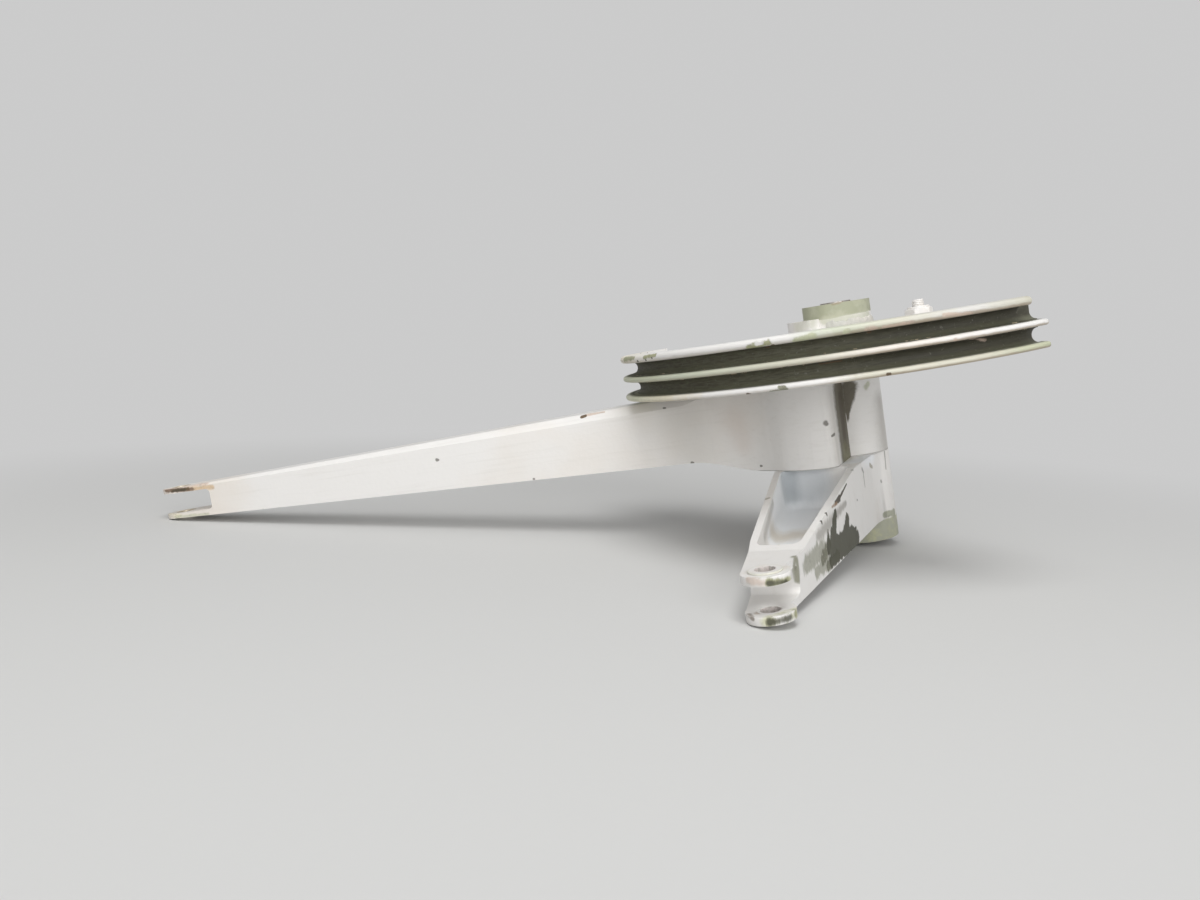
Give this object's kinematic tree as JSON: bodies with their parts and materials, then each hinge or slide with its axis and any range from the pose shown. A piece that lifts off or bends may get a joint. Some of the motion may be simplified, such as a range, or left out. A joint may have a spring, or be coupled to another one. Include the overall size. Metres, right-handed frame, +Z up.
{
  "type": "aircraft bellcrank",
  "caption": "Aircraft control bellcrank: a long forked arm and a pocketed clevis arm stacked on a bearing hub under a grooved cable sector, in worn white paint over green primer.",
  "frame": {"origin": "on the pivot axis at the face of the lower bearing boss", "axes": "+Z up along the pivot axis towards the cable sector, long arm along -X"},
  "size_m": [0.3803, 0.1856, 0.1047],
  "materials": {
    "white_paint": "satin white paint, chipped to pale green primer",
    "sector_paint": "satin white and cream paint over olive primer, worn on the rim",
    "bearing_steel": "ground bearing steel, dulled",
    "ball_steel": "polished balls",
    "cage_brass": "plain",
    "shield_steel": "pressed steel, stained",
    "spacer_steel": "turned",
    "bush_bronze": "worn, partly overpainted",
    "fastener_steel": "plated",
    "painted_fastener": "white paint over plated steel"
  },
  "bodies": {
    "pivot": {"upper_inner_ring": "bearing_steel", "lower_inner_ring": "bearing_steel", "pivot_spacer": "spacer_steel"},
    "crank": {"long_arm": "white_paint", "short_arm": "white_paint", "cable_sector": "sector_paint", "upper_outer_ring": "bearing_steel", "upper_balls": "ball_steel", "upper_cage": "cage_brass", "upper_shields": "shield_steel", "lower_outer_ring": "bearing_steel", "lower_balls": "ball_steel", "lower_cage": "cage_brass", "lower_shields": "shield_steel", "fork_bushes": "bush_bronze", "clevis_bushes": "bush_bronze", "joint_bolts": "fastener_steel", "joint_washers": "fastener_steel", "joint_nuts": "fastener_steel", "sector_screws": "fastener_steel", "anchor_bolt": "painted_fastener", "anchor_washers": "painted_fastener", "anchor_nut": "painted_fastener"}
  },
  "joints": [
    {"name": "crank_turn", "type": "hinge", "parent": "pivot", "child": "crank", "pos_m": [0, 0, 0], "axis": [0, 0, 1], "continuous": true}
  ]
}
